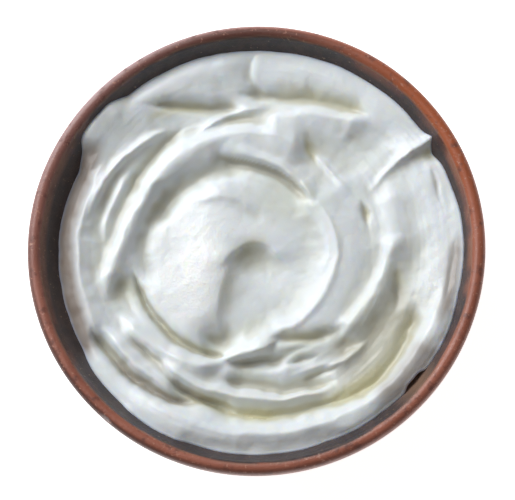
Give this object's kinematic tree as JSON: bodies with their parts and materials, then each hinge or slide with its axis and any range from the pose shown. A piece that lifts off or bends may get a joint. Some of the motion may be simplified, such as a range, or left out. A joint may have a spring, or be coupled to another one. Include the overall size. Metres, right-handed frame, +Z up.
{
  "type": "bowl of labneh",
  "caption": "Turned terracotta bowl, dark glazed inside, filled to just under its rounded lip with thick white labneh spooned into swirls.",
  "frame": {"origin": "centre of the underside of the bowl's foot, on the surface it stands on", "axes": "+Z up through the middle of the bowl; +X and +Y lie in the plane of the table, with the deepest scoop in the labneh near the axis and the sharp tip of the swirl in the quarter between +X and +Y"},
  "size_m": [0.15, 0.15, 0.05],
  "materials": {
    "bowl": "satin red clay outside, dark brown glaze inside",
    "labneh": "moist white cream"
  },
  "bodies": {
    "root": {"bowl": "bowl", "labneh": "labneh"}
  },
  "joints": []
}
